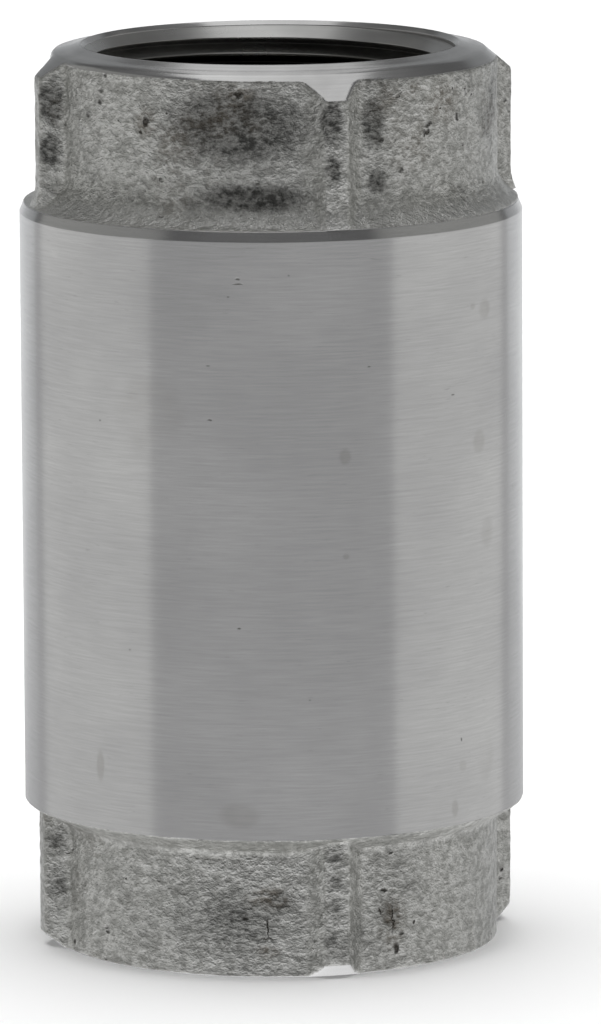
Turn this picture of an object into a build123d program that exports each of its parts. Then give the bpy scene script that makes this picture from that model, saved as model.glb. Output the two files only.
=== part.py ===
from build123d import *

# Spring-loaded in-line check valve with a one-piece cast body and a female taper pipe thread at each end.
#
# Frame: +Z runs along the flow, from the inlet to the outlet, on the valve's centre line. The origin is the
# centre of the inlet rim, so the valve stands upright on Z = 0. All sizes are in millimetres, and the poppet
# is drawn closed, resting on its seat.

import os
from math import cos, pi, radians, sin, tan

# ---------------------------------------------------------------------------------------------------
# Driving dimensions
# ---------------------------------------------------------------------------------------------------

# Body, outside
BODY_HEIGHT = 103.0
HUB_WALL = 6.1  # from the pipe thread's crest out to the cast hub
BARREL_STEP = 3.3  # how far the barrel stands out from the hubs, all round
INLET_HUB_HEIGHT = 16.2  # inlet rim to the lower edge of the machined barrel
OUTLET_HUB_HEIGHT = 17.9  # upper edge of the barrel, above its edge break, to the outlet rim
BARREL_BREAK_HEIGHT = 1.1  # tapered edge break round the top of the barrel
BARREL_BREAK_DEPTH = 0.2
INLET_SHOULDER_SLOPE = 30.0  # of the cast shoulder under the barrel, from the horizontal, in degrees
INLET_SHOULDER_FILLET = 1.2
OUTLET_SHOULDER_HEIGHT = 4.3  # of the hollow cast fillet from the barrel up to the outlet hub
SHOULDER_SINK = 0.05  # how far both shoulders run on into the hub

# Cast ribs that a pipe wrench grips, the same on both hubs
RIB_COUNT = 4
RIB_START_ANGLE = 14.6  # from +X to the first rib, in degrees
RIB_HEIGHT = 2.4  # above the hub
RIB_CROWN_WIDTH = 1.8
RIB_FOOT_WIDTH = 4.6
RIB_ROOT_FILLET = 1.2
RIB_CROWN_FILLET = 0.35
RIB_FLARE_HEIGHT = 2.6  # of the flare where a rib runs out over the top of the barrel
RIB_FLARE_MARGIN = 0.1  # kept between the flare and both the barrel's edge and the rib's crown

# Turned ends
OUTLET_FACE_INSET = 0.3  # from the hub in to the outer edge of the outlet face
OUTLET_FACE_FALL = 18.5  # how far the outlet face slopes down outwards, in degrees
INLET_FACE_OVERHANG = 0.3  # from the hub out to the edge of the inlet face, which only cuts the ribs
END_CHAMFER_SLOPE = 39.5  # of the turned chamfers outside both faces, in degrees

# Pipe sockets, drawn as smooth bores at the crest of a 1 1/4 inch taper pipe thread
THREAD_CREST_DIAMETER = 38.4
COUNTERSINK_WIDTH = 2.3  # of the countersunk mouth, all round
SOCKET_DEPTH = 19.0

# Body, inside
INSERT_STEP = 0.6  # from the thread's crest in to the bore that takes the seat ring and the outlet guide
INLET_LAND = 0.7  # between the end of the inlet socket and its snap ring's groove
OUTLET_LAND = 1.7  # the same at the outlet end
SEAT_SHOULDER = 2.0  # width of the web's shoulder that the seat ring bears on
SEAT_THROAT_HEIGHT = 4.0
GUIDE_SHOULDER = 1.4  # width of the lip that the outlet guide bears on
GUIDE_THROAT_HEIGHT = 1.1
CHAMBER_WALL = 5.4
CHAMBER_FLOOR_SLOPE = 31.0  # of the cone above the web, from the horizontal, in degrees
CHAMBER_ROOF_SLOPE = 44.5  # of the cone under the lip, from the horizontal, in degrees

# Snap rings and their grooves
SNAP_RING_THICKNESS = 1.2
SNAP_RING_SPAN = 2.7  # radial width of the ring opposite its opening
SNAP_RING_TAPER = 0.35  # how far the inner edge is off centre, towards the opening
SNAP_RING_BITE = 0.9  # how deep its groove is cut into the bore
SNAP_RING_OPENING = 30.0  # angle between the two ears, in degrees
SNAP_RING_ANGLE = 45.0  # from +X to the middle of the opening, in degrees
EAR_RADIUS = 2.0
EAR_REACH = 1.3  # from the ring's inner edge in to the middle of an ear
EAR_HOLE_DIAMETER = 1.8

# Seat ring
SEAT_FLANGE_HEIGHT = 5.95
SEAT_NECK_HEIGHT = 12.0  # from the body's web to the foot of the lip
SEAT_LIP_HEIGHT = 1.0
SEAT_LIP_WIDTH = 0.8
SEAT_LIP_OFFSET = 0.4  # from the port to the inner edge of the lip
SEAT_NECK_WALL = 3.05  # from the seat ring's neck in to its port
O_RING_SECTION = 2.0
O_RING_SQUEEZE = 0.35
O_RING_GROOVE_WIDTH = 2.6

# Guide arms and hubs
ARM_COUNT = 4
ARM_ANGLE = 45.0  # from +X to the first arm, in degrees
ARM_WIDTH = 3.0
INLET_ARM_HEIGHT = 4.4
INLET_HUB_WALL = 1.4
INLET_HUB_LENGTH = 10.8
OUTLET_ARM_HEIGHT = 3.6
OUTLET_HUB_WALL = 1.4
OUTLET_RIM_HEIGHT = 4.0
OUTLET_RIM_WIDTH = 2.5
OUTLET_HUB_RISE = 0.6  # of the hub above the rim
SPRING_FLANGE_DROP = 2.0  # from the lip that the guide bears on down to the face the spring bears on
SPRING_FLANGE_RIM = 0.4  # metal outside the spring

# Guide bushes
RUNNING_GAP = 0.05  # radial, between the stem and its bushes
BUSH_WALL = 1.5
BUSH_FLANGE_THICKNESS = 0.8
BUSH_FLANGE_RIM = 0.9  # how far the flange overlaps the hub

# Poppet
POPPET_LIFT = 8.0
POPPET_PASS = 0.3  # radial room for the poppet to go in past the lip that the outlet guide bears on
POPPET_WEB = 3.45  # metal above the seal
POPPET_SKIRT = 1.35  # how far the rim comes down round the seal
POPPET_RIM = 1.45  # radial width of the rim round the seal
SEAL_THICKNESS = 2.5
SEAL_GAP = 0.04  # between the seal's face and the seat lip as drawn
RETAINER_GAP = 1.3  # between the seal's retainer and the port it stands in
RETAINER_THICKNESS = 2.0
LOCK_WASHER_DIAMETER = 12.4
LOCK_WASHER_THICKNESS = 1.1
LOCK_WASHER_SLIT = 0.9
NUT_ACROSS_FLATS = 13.0
NUT_HEIGHT = 4.0

# Stem
STEM_DIAMETER = 8.0
STEM_THREAD_DIAMETER = 7.8
PILOT_DIAMETER = 6.4
STEM_COLLAR_DIAMETER = 14.0
STEM_COLLAR_THICKNESS = 2.0
STEM_THREAD_RUN = 1.0  # threaded length below the nut
STEM_END_GAP = 0.6  # between each stem end and the nearest pipe socket
STOP_GAP = 0.2  # left between the collar and the outlet hub at full lift

# Spring
SPRING_MEAN_DIAMETER = 18.0
SPRING_WIRE_DIAMETER = 1.0
SPRING_COILS = 8.0
SPRING_END_COILS = 1.0  # closed coils at each end
SPRING_END_PITCH = 1.06  # of the closed coils, in wire diameters
SPRING_RAMP_COILS = 0.5  # over which the pitch opens out
SPRING_POINTS_PER_COIL = 16

# Clearances and edges
STATIC_GAP = 0.05  # radial, between pieces that are fitted together
FACE_GAP = 0.02  # between faces that are clamped or pushed together
BREAK = 0.3  # chamfer on turned edges

# ---------------------------------------------------------------------------------------------------
# Sizes and places that follow from the driving dimensions
# ---------------------------------------------------------------------------------------------------

CREST_RADIUS = THREAD_CREST_DIAMETER / 2
HUB_RADIUS = CREST_RADIUS + HUB_WALL
BARREL_RADIUS = HUB_RADIUS + BARREL_STEP
RIB_RADIUS = HUB_RADIUS + RIB_HEIGHT
COUNTERSINK_RADIUS = CREST_RADIUS + COUNTERSINK_WIDTH
COUNTERSINK_DEPTH = COUNTERSINK_WIDTH
INSERT_BORE_RADIUS = CREST_RADIUS - INSERT_STEP
SEAT_THROAT_RADIUS = INSERT_BORE_RADIUS - SEAT_SHOULDER
GUIDE_THROAT_RADIUS = INSERT_BORE_RADIUS - GUIDE_SHOULDER
CHAMBER_RADIUS = BARREL_RADIUS - CHAMBER_WALL
GROOVE_RADIUS = INSERT_BORE_RADIUS + SNAP_RING_BITE
GROOVE_HEIGHT = SNAP_RING_THICKNESS + 2 * STATIC_GAP
INSERT_RADIUS = INSERT_BORE_RADIUS - STATIC_GAP
SEAT_NECK_RADIUS = SEAT_THROAT_RADIUS - STATIC_GAP
PORT_RADIUS = SEAT_NECK_RADIUS - SEAT_NECK_WALL
POPPET_RADIUS = GUIDE_THROAT_RADIUS - POPPET_PASS
SEAL_RADIUS = POPPET_RADIUS - POPPET_RIM - STATIC_GAP
RETAINER_RADIUS = PORT_RADIUS - RETAINER_GAP

STEM_RADIUS = STEM_DIAMETER / 2
PILOT_RADIUS = PILOT_DIAMETER / 2
STEM_THREAD_RADIUS = STEM_THREAD_DIAMETER / 2
INLET_BUSH_BORE = PILOT_RADIUS + RUNNING_GAP
INLET_BUSH_RADIUS = INLET_BUSH_BORE + BUSH_WALL
INLET_HUB_RADIUS = INLET_BUSH_RADIUS + STATIC_GAP + INLET_HUB_WALL
OUTLET_BUSH_BORE = STEM_RADIUS + RUNNING_GAP
OUTLET_BUSH_RADIUS = OUTLET_BUSH_BORE + BUSH_WALL
OUTLET_HUB_RADIUS = OUTLET_BUSH_RADIUS + STATIC_GAP + OUTLET_HUB_WALL
SPRING_RADIUS = SPRING_MEAN_DIAMETER / 2
WIRE_RADIUS = SPRING_WIRE_DIAMETER / 2
SPRING_FLANGE_RADIUS = SPRING_RADIUS + WIRE_RADIUS + SPRING_FLANGE_RIM

# Inlet end, counted up from the end of its pipe socket
INLET_GROOVE_Z = SOCKET_DEPTH + INLET_LAND
SEAT_RING_Z = INLET_GROOVE_Z + GROOVE_HEIGHT + FACE_GAP
WEB_Z = SEAT_RING_Z + SEAT_FLANGE_HEIGHT + FACE_GAP
CHAMBER_FLOOR_Z = WEB_Z + SEAT_THROAT_HEIGHT
LIP_FOOT_Z = WEB_Z + SEAT_NECK_HEIGHT
SEAT_Z = LIP_FOOT_Z + SEAT_LIP_HEIGHT
STEM_TIP_Z = SOCKET_DEPTH + STEM_END_GAP
INLET_HUB_Z = SOCKET_DEPTH + STEM_END_GAP
INLET_HUB_TOP_Z = INLET_HUB_Z + INLET_HUB_LENGTH

# Poppet, counted up and down from the seal's face
SEAL_Z = SEAT_Z + SEAL_GAP
DISC_Z = SEAL_Z + SEAL_THICKNESS
DISC_TOP_Z = DISC_Z + POPPET_WEB
COLLAR_TOP_Z = DISC_TOP_Z + STEM_COLLAR_THICKNESS
RETAINER_Z = SEAL_Z - RETAINER_THICKNESS
LOCK_WASHER_Z = RETAINER_Z - LOCK_WASHER_THICKNESS
NUT_Z = LOCK_WASHER_Z - NUT_HEIGHT
STEM_THREAD_Z = NUT_Z - STEM_THREAD_RUN

# Outlet end, counted down from the end of its pipe socket
OUTLET_SOCKET_Z = BODY_HEIGHT - SOCKET_DEPTH
OUTLET_GROOVE_Z = OUTLET_SOCKET_Z - OUTLET_LAND - GROOVE_HEIGHT
OUTLET_RIM_TOP_Z = OUTLET_GROOVE_Z - FACE_GAP
GUIDE_SHOULDER_Z = OUTLET_RIM_TOP_Z - OUTLET_RIM_HEIGHT - FACE_GAP
GUIDE_THROAT_Z = GUIDE_SHOULDER_Z - GUIDE_THROAT_HEIGHT
SPRING_HEAD_Z = GUIDE_SHOULDER_Z - SPRING_FLANGE_DROP
OUTLET_HUB_TOP_Z = OUTLET_RIM_TOP_Z + OUTLET_HUB_RISE
STOP_Z = COLLAR_TOP_Z + POPPET_LIFT + STOP_GAP
STEM_TOP_Z = OUTLET_SOCKET_Z - STEM_END_GAP


# ---------------------------------------------------------------------------------------------------
# Shapes used more than once
# ---------------------------------------------------------------------------------------------------


def turned(*points):
    """The solid that a closed outline of (radius, height) points sweeps round the centre line."""
    return revolve(Plane.XZ * make_face(Polyline(*points, close=True)), Axis.Z)


def turned_ring(inner, outer, bottom, top, edge=BREAK):
    """A plain turned ring with all four of its edges broken."""
    return turned(
        (inner + edge, bottom),
        (outer - edge, bottom),
        (outer, bottom + edge),
        (outer, top - edge),
        (outer - edge, top),
        (inner + edge, top),
        (inner, top - edge),
        (inner, bottom + edge),
    )


def around(shape, count, start):
    """Copies of a shape, evenly spaced round the centre line."""
    return [Rot(0, 0, start + 360 * i / count) * shape for i in range(count)]


def radial_plate(outline, width):
    """A flat plate of the given width, standing on edge along +X, with a (radius, height) outline."""
    return extrude(Plane.XZ * make_face(Polyline(*outline, close=True)), width / 2, both=True)


def flanged_bush(bore, radius, bottom, top, flange_bottom):
    """A plain bush with a flange at its upper end."""
    flange_radius = radius + BUSH_FLANGE_RIM
    return turned(
        (bore + BREAK, bottom),
        (radius - BREAK, bottom),
        (radius, bottom + BREAK),
        (radius, flange_bottom),
        (flange_radius, flange_bottom),
        (flange_radius, top - BREAK),
        (flange_radius - BREAK, top),
        (bore + BREAK, top),
        (bore, top - BREAK),
        (bore, bottom + BREAK),
    )


def snap_ring(bottom):
    """An internal snap ring with two drilled ears, lying in a groove whose lower face is at bottom."""
    low = bottom + STATIC_GAP
    outer = GROOVE_RADIUS - STATIC_GAP
    inner = outer - SNAP_RING_SPAN
    ear_place = inner - EAR_REACH + SNAP_RING_TAPER
    half = SNAP_RING_OPENING / 2
    ring = Circle(outer) - Pos(SNAP_RING_TAPER, 0) * Circle(inner)
    reach = 2 * outer
    gap = make_face(
        Polyline(
            (0, 0),
            (reach * cos(radians(half)), -reach * sin(radians(half))),
            (reach * cos(radians(half)), reach * sin(radians(half))),
            close=True,
        )
    )
    ring -= gap
    for side in (-1, 1):
        place = Rot(0, 0, side * half) * Pos(ear_place, side * EAR_RADIUS / 2)
        ring += place * Circle(EAR_RADIUS)
        ring -= place * Circle(EAR_HOLE_DIAMETER / 2)
    body = extrude(Pos(0, 0, low) * ring, SNAP_RING_THICKNESS)
    return Rot(0, 0, SNAP_RING_ANGLE) * body


# ---------------------------------------------------------------------------------------------------
# Body
# ---------------------------------------------------------------------------------------------------


def barrel_blank():
    """The barrel and its cast shoulders as a turned sleeve that is sunk a little into the hub."""
    inner = HUB_RADIUS - SHOULDER_SINK
    core = HUB_RADIUS - RIB_HEIGHT
    rise = (BARREL_RADIUS - inner) * tan(radians(INLET_SHOULDER_SLOPE))
    foot_z = INLET_HUB_HEIGHT - rise - 2 * INLET_SHOULDER_FILLET
    barrel_top_z = BODY_HEIGHT - OUTLET_HUB_HEIGHT
    top_edge = (BARREL_RADIUS - BARREL_BREAK_DEPTH, barrel_top_z)
    head = (inner, barrel_top_z + OUTLET_SHOULDER_HEIGHT)
    lower = FilletPolyline(
        (inner, foot_z),
        (inner, INLET_HUB_HEIGHT - rise),
        (BARREL_RADIUS, INLET_HUB_HEIGHT),
        radius=INLET_SHOULDER_FILLET,
    )
    barrel = Polyline(
        (BARREL_RADIUS, INLET_HUB_HEIGHT),
        (BARREL_RADIUS, barrel_top_z - BARREL_BREAK_HEIGHT),
        top_edge,
    )
    hollow = TangentArc(head, top_edge, tangent=(0, -1))
    back = Polyline(head, (core, head[1]), (core, foot_z), (inner, foot_z))
    return revolve(Plane.XZ * make_face([lower, barrel, hollow, back]), Axis.Z)


def ribbed_hub():
    """The hub over the whole height, with its ribs, which have narrow crowns and filleted feet."""
    sink = RIB_HEIGHT / 2
    spread = (RIB_FOOT_WIDTH - RIB_CROWN_WIDTH) / RIB_HEIGHT * sink / 2
    foot_half = RIB_FOOT_WIDTH / 2
    crown_half = RIB_CROWN_WIDTH / 2
    rib = make_face(
        Polyline(
            (HUB_RADIUS - sink, -foot_half - spread),
            (RIB_RADIUS, -crown_half),
            (RIB_RADIUS, crown_half),
            (HUB_RADIUS - sink, foot_half + spread),
            close=True,
        )
    )
    plan = Circle(HUB_RADIUS)
    for one in around(rib, RIB_COUNT, RIB_START_ANGLE):
        plan += one
    corners = plan.vertices().filter_by(lambda v: v.center().length > HUB_RADIUS + RIB_HEIGHT / 2)
    plan = fillet(corners, RIB_CROWN_FILLET)
    roots = plan.vertices().filter_by(is_rib_root)
    plan = fillet(roots, RIB_ROOT_FILLET)
    return extrude(plan, BODY_HEIGHT)


def is_rib_root(vertex):
    """Is this point where a rib's flank meets the hub?"""
    on_hub = abs(vertex.center().length - HUB_RADIUS) < RIB_HEIGHT / 4
    on_seam = abs(vertex.Y) < RIB_CROWN_FILLET / 4 and vertex.X > 0
    return on_hub and not on_seam


def rib_flares():
    """Where a rib runs down to the barrel it flares out to just short of the barrel's top edge."""
    barrel_top_z = BODY_HEIGHT - OUTLET_HUB_HEIGHT
    edge_radius = BARREL_RADIUS - BARREL_BREAK_DEPTH - RIB_FLARE_MARGIN
    sink = RIB_HEIGHT / 2
    flare = radial_plate(
        [
            (HUB_RADIUS - sink, barrel_top_z - RIB_FLARE_HEIGHT),
            (edge_radius, barrel_top_z - RIB_FLARE_HEIGHT),
            (edge_radius, barrel_top_z + RIB_FLARE_MARGIN),
            (RIB_RADIUS - RIB_FLARE_MARGIN, barrel_top_z + RIB_FLARE_HEIGHT),
            (HUB_RADIUS - sink, barrel_top_z + RIB_FLARE_HEIGHT),
        ],
        RIB_CROWN_WIDTH,
    )
    return around(flare, RIB_COUNT, RIB_START_ANGLE)


def turned_envelope():
    """What the lathe leaves of the casting's ends: two faces, each with a chamfer outside it."""
    reach = 2 * BARREL_RADIUS
    slope = tan(radians(END_CHAMFER_SLOPE))
    inlet_face = HUB_RADIUS + INLET_FACE_OVERHANG
    outlet_face = HUB_RADIUS - OUTLET_FACE_INSET
    fall = (outlet_face - COUNTERSINK_RADIUS) * tan(radians(OUTLET_FACE_FALL))
    outlet_edge_z = BODY_HEIGHT - fall
    meet = min(inlet_face + BODY_HEIGHT / slope / 2, inlet_face + reach)
    return turned(
        (0, 0),
        (inlet_face, 0),
        (meet, (meet - inlet_face) * slope),
        (meet, outlet_edge_z - (meet - outlet_face) * slope),
        (outlet_face, outlet_edge_z),
        (COUNTERSINK_RADIUS, BODY_HEIGHT),
        (0, BODY_HEIGHT),
    )


def body_passage():
    """Everything that is bored out of the body, from the inlet rim up to the outlet rim."""
    floor_rise = (CHAMBER_RADIUS - SEAT_THROAT_RADIUS) * tan(radians(CHAMBER_FLOOR_SLOPE))
    roof_fall = (CHAMBER_RADIUS - GUIDE_THROAT_RADIUS) * tan(radians(CHAMBER_ROOF_SLOPE))
    return turned(
        (0, 0),
        (COUNTERSINK_RADIUS, 0),
        (CREST_RADIUS, COUNTERSINK_DEPTH),
        (CREST_RADIUS, SOCKET_DEPTH),
        (INSERT_BORE_RADIUS, SOCKET_DEPTH),
        (INSERT_BORE_RADIUS, INLET_GROOVE_Z),
        (GROOVE_RADIUS, INLET_GROOVE_Z),
        (GROOVE_RADIUS, INLET_GROOVE_Z + GROOVE_HEIGHT),
        (INSERT_BORE_RADIUS, INLET_GROOVE_Z + GROOVE_HEIGHT),
        (INSERT_BORE_RADIUS, WEB_Z),
        (SEAT_THROAT_RADIUS, WEB_Z),
        (SEAT_THROAT_RADIUS, CHAMBER_FLOOR_Z),
        (CHAMBER_RADIUS, CHAMBER_FLOOR_Z + floor_rise),
        (CHAMBER_RADIUS, GUIDE_THROAT_Z - roof_fall),
        (GUIDE_THROAT_RADIUS, GUIDE_THROAT_Z),
        (GUIDE_THROAT_RADIUS, GUIDE_SHOULDER_Z),
        (INSERT_BORE_RADIUS, GUIDE_SHOULDER_Z),
        (INSERT_BORE_RADIUS, OUTLET_GROOVE_Z),
        (GROOVE_RADIUS, OUTLET_GROOVE_Z),
        (GROOVE_RADIUS, OUTLET_GROOVE_Z + GROOVE_HEIGHT),
        (INSERT_BORE_RADIUS, OUTLET_GROOVE_Z + GROOVE_HEIGHT),
        (INSERT_BORE_RADIUS, OUTLET_SOCKET_Z),
        (CREST_RADIUS, OUTLET_SOCKET_Z),
        (CREST_RADIUS, BODY_HEIGHT - COUNTERSINK_DEPTH),
        (COUNTERSINK_RADIUS, BODY_HEIGHT),
        (0, BODY_HEIGHT),
    )


def valve_body():
    solid = ribbed_hub() + barrel_blank()
    for flare in rib_flares():
        solid += flare
    solid &= turned_envelope()
    return solid - body_passage()


# ---------------------------------------------------------------------------------------------------
# Seat, held in the inlet end
# ---------------------------------------------------------------------------------------------------


def o_ring_groove():
    """Depth, lower face and upper face of the groove round the seat ring's flange."""
    bottom_radius = INSERT_BORE_RADIUS - (O_RING_SECTION - O_RING_SQUEEZE)
    middle = SEAT_RING_Z + SEAT_FLANGE_HEIGHT / 2
    return bottom_radius, middle - O_RING_GROOVE_WIDTH / 2, middle + O_RING_GROOVE_WIDTH / 2


def seat_ring():
    """The seat, with the inlet guide's hub on arms across its port."""
    groove_radius, groove_low, groove_high = o_ring_groove()
    lip_inner = PORT_RADIUS + SEAT_LIP_OFFSET
    lip_outer = lip_inner + SEAT_LIP_WIDTH
    ring = turned(
        (PORT_RADIUS + BREAK, SEAT_RING_Z),
        (INSERT_RADIUS - BREAK, SEAT_RING_Z),
        (INSERT_RADIUS, SEAT_RING_Z + BREAK),
        (INSERT_RADIUS, groove_low),
        (groove_radius, groove_low),
        (groove_radius, groove_high),
        (INSERT_RADIUS, groove_high),
        (INSERT_RADIUS, SEAT_RING_Z + SEAT_FLANGE_HEIGHT),
        (SEAT_NECK_RADIUS, SEAT_RING_Z + SEAT_FLANGE_HEIGHT),
        (SEAT_NECK_RADIUS, LIP_FOOT_Z - SEAT_LIP_HEIGHT),
        (lip_outer, SEAT_Z),
        (lip_inner, SEAT_Z),
        (PORT_RADIUS, SEAT_Z - SEAT_LIP_OFFSET),
        (PORT_RADIUS, SEAT_RING_Z + BREAK),
    )
    bush_hole = INLET_BUSH_RADIUS + STATIC_GAP
    ring += turned_ring(bush_hole, INLET_HUB_RADIUS, INLET_HUB_Z, INLET_HUB_TOP_Z)
    inside = bush_hole + INLET_HUB_WALL / 2
    outside = PORT_RADIUS + SEAT_LIP_OFFSET
    arm_foot_z = SEAT_RING_Z + BREAK
    arm = radial_plate(
        [
            (inside, arm_foot_z),
            (outside, arm_foot_z),
            (outside, arm_foot_z + INLET_ARM_HEIGHT),
            (inside, arm_foot_z + INLET_ARM_HEIGHT),
        ],
        ARM_WIDTH,
    )
    for one in around(arm, ARM_COUNT, ARM_ANGLE):
        ring += one
    return ring


def seat_o_ring():
    """The O-ring as squeezed between its groove and the body's bore."""
    groove_radius, groove_low, groove_high = o_ring_groove()
    half_depth = (INSERT_BORE_RADIUS - groove_radius) / 2 - FACE_GAP
    half_width = (O_RING_SECTION / 2) ** 2 / half_depth
    middle = Pos((INSERT_BORE_RADIUS + groove_radius) / 2, (groove_low + groove_high) / 2)
    return revolve(Plane.XZ * (middle * Ellipse(half_depth, half_width)), Axis.Z)


def inlet_guide_bush():
    return flanged_bush(
        INLET_BUSH_BORE,
        INLET_BUSH_RADIUS,
        INLET_HUB_Z,
        INLET_HUB_TOP_Z + FACE_GAP + BUSH_FLANGE_THICKNESS,
        INLET_HUB_TOP_Z + FACE_GAP,
    )


# ---------------------------------------------------------------------------------------------------
# Guide, held in the outlet end
# ---------------------------------------------------------------------------------------------------


def guide_spider():
    """Outer rim, arms and hub. The hub's lower end stops the poppet, and its flange holds the spring."""
    rim_inner = INSERT_RADIUS - OUTLET_RIM_WIDTH
    rim_low = OUTLET_RIM_TOP_Z - OUTLET_RIM_HEIGHT
    rim = turned_ring(rim_inner, INSERT_RADIUS, rim_low, OUTLET_RIM_TOP_Z)
    bush_hole = OUTLET_BUSH_RADIUS + STATIC_GAP
    flange_top = SPRING_HEAD_Z + SPRING_FLANGE_DROP
    hub = turned(
        (bush_hole, STOP_Z),
        (OUTLET_HUB_RADIUS - BREAK, STOP_Z),
        (OUTLET_HUB_RADIUS, STOP_Z + BREAK),
        (OUTLET_HUB_RADIUS, SPRING_HEAD_Z),
        (SPRING_FLANGE_RADIUS, SPRING_HEAD_Z),
        (SPRING_FLANGE_RADIUS, flange_top - BREAK),
        (SPRING_FLANGE_RADIUS - BREAK, flange_top),
        (OUTLET_HUB_RADIUS, flange_top),
        (OUTLET_HUB_RADIUS, OUTLET_HUB_TOP_Z - BREAK),
        (OUTLET_HUB_RADIUS - BREAK, OUTLET_HUB_TOP_Z),
        (bush_hole, OUTLET_HUB_TOP_Z),
    )
    inside = bush_hole + OUTLET_HUB_WALL / 2
    outside = rim_inner + BREAK
    arm_top = OUTLET_RIM_TOP_Z - BREAK
    arm = radial_plate(
        [
            (inside, SPRING_HEAD_Z + BREAK),
            (SPRING_FLANGE_RADIUS - BREAK, SPRING_HEAD_Z + BREAK),
            (outside, arm_top - OUTLET_ARM_HEIGHT + BREAK),
            (outside, arm_top),
            (inside, arm_top),
        ],
        ARM_WIDTH,
    )
    spider = rim + hub
    for one in around(arm, ARM_COUNT, ARM_ANGLE):
        spider += one
    return spider


def outlet_guide_bush():
    return flanged_bush(
        OUTLET_BUSH_BORE,
        OUTLET_BUSH_RADIUS,
        STOP_Z + STATIC_GAP,
        OUTLET_HUB_TOP_Z + FACE_GAP + BUSH_FLANGE_THICKNESS,
        OUTLET_HUB_TOP_Z + FACE_GAP,
    )


# ---------------------------------------------------------------------------------------------------
# Poppet
# ---------------------------------------------------------------------------------------------------


def poppet_stem():
    """Stem with a collar above the disc, a threaded part for the nut and a thinner pilot below it."""
    collar = STEM_COLLAR_DIAMETER / 2
    return turned(
        (0, STEM_TIP_Z),
        (PILOT_RADIUS - BREAK, STEM_TIP_Z),
        (PILOT_RADIUS, STEM_TIP_Z + BREAK),
        (PILOT_RADIUS, STEM_THREAD_Z),
        (STEM_THREAD_RADIUS - BREAK, STEM_THREAD_Z),
        (STEM_THREAD_RADIUS, STEM_THREAD_Z + BREAK),
        (STEM_THREAD_RADIUS, DISC_TOP_Z),
        (collar - BREAK, DISC_TOP_Z),
        (collar, DISC_TOP_Z + BREAK),
        (collar, COLLAR_TOP_Z - BREAK),
        (collar - BREAK, COLLAR_TOP_Z),
        (STEM_RADIUS, COLLAR_TOP_Z),
        (STEM_RADIUS, STEM_TOP_Z - BREAK),
        (STEM_RADIUS - BREAK, STEM_TOP_Z),
        (0, STEM_TOP_Z),
    )


def poppet_disc():
    """Disc with a rim that comes down round the seal."""
    radius = POPPET_RADIUS
    hole = STEM_THREAD_RADIUS + STATIC_GAP
    seal_pocket = SEAL_RADIUS + STATIC_GAP
    top = DISC_TOP_Z - FACE_GAP
    return turned(
        (hole, DISC_Z + FACE_GAP),
        (seal_pocket, DISC_Z + FACE_GAP),
        (seal_pocket, DISC_Z - POPPET_SKIRT),
        (radius - BREAK, DISC_Z - POPPET_SKIRT),
        (radius, DISC_Z - POPPET_SKIRT + BREAK),
        (radius, top - BREAK),
        (radius - BREAK, top),
        (hole, top),
    )


def seal_washer():
    return turned_ring(STEM_THREAD_RADIUS + STATIC_GAP, SEAL_RADIUS, SEAL_Z, DISC_Z, STATIC_GAP)


def seal_retainer():
    hole = STEM_THREAD_RADIUS + STATIC_GAP
    return turned_ring(hole, RETAINER_RADIUS, RETAINER_Z + FACE_GAP, SEAL_Z - FACE_GAP)


def lock_washer():
    """Split spring washer, drawn flat under the nut's load."""
    inner = STEM_THREAD_RADIUS + STATIC_GAP
    outer = LOCK_WASHER_DIAMETER / 2
    ring = turned_ring(inner, outer, LOCK_WASHER_Z + FACE_GAP, RETAINER_Z - FACE_GAP, STATIC_GAP)
    slit = Pos(outer, 0, LOCK_WASHER_Z) * Box(2 * outer, LOCK_WASHER_SLIT, 4 * LOCK_WASHER_THICKNESS)
    return ring - slit


def lock_nut():
    """Hexagon nut with both ends of its corners chamfered."""
    corner_radius = NUT_ACROSS_FLATS / 2 / cos(pi / 6)
    hexagon = extrude(Pos(0, 0, NUT_Z) * RegularPolygon(corner_radius, 6), NUT_HEIGHT - FACE_GAP)
    flats = NUT_ACROSS_FLATS / 2
    corner_drop = (corner_radius - flats) * tan(radians(30))
    top = NUT_Z + NUT_HEIGHT - FACE_GAP
    chamfered = turned(
        (0, NUT_Z),
        (flats, NUT_Z),
        (corner_radius, NUT_Z + corner_drop),
        (corner_radius, top - corner_drop),
        (flats, top),
        (0, top),
    )
    bore = STEM_THREAD_RADIUS + STATIC_GAP
    return (hexagon & chamfered) - Pos(0, 0, NUT_Z) * Cylinder(bore, 4 * NUT_HEIGHT)


# ---------------------------------------------------------------------------------------------------
# Spring
# ---------------------------------------------------------------------------------------------------


def spring_height(coil, working_pitch, end_pitch):
    """Height of the wire's middle above its start, a number of coils along a spring with closed ends."""
    if coil > SPRING_COILS / 2:
        whole = 2 * spring_height(SPRING_COILS / 2, working_pitch, end_pitch)
        return whole - spring_height(SPRING_COILS - coil, working_pitch, end_pitch)
    closed = min(coil, SPRING_END_COILS) * end_pitch
    ramp = min(max(coil - SPRING_END_COILS, 0), SPRING_RAMP_COILS)
    opening = ramp * end_pitch + (working_pitch - end_pitch) * ramp**2 / SPRING_RAMP_COILS / 2
    open_coils = max(coil - SPRING_END_COILS - SPRING_RAMP_COILS, 0)
    return closed + opening + open_coils * working_pitch


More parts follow.
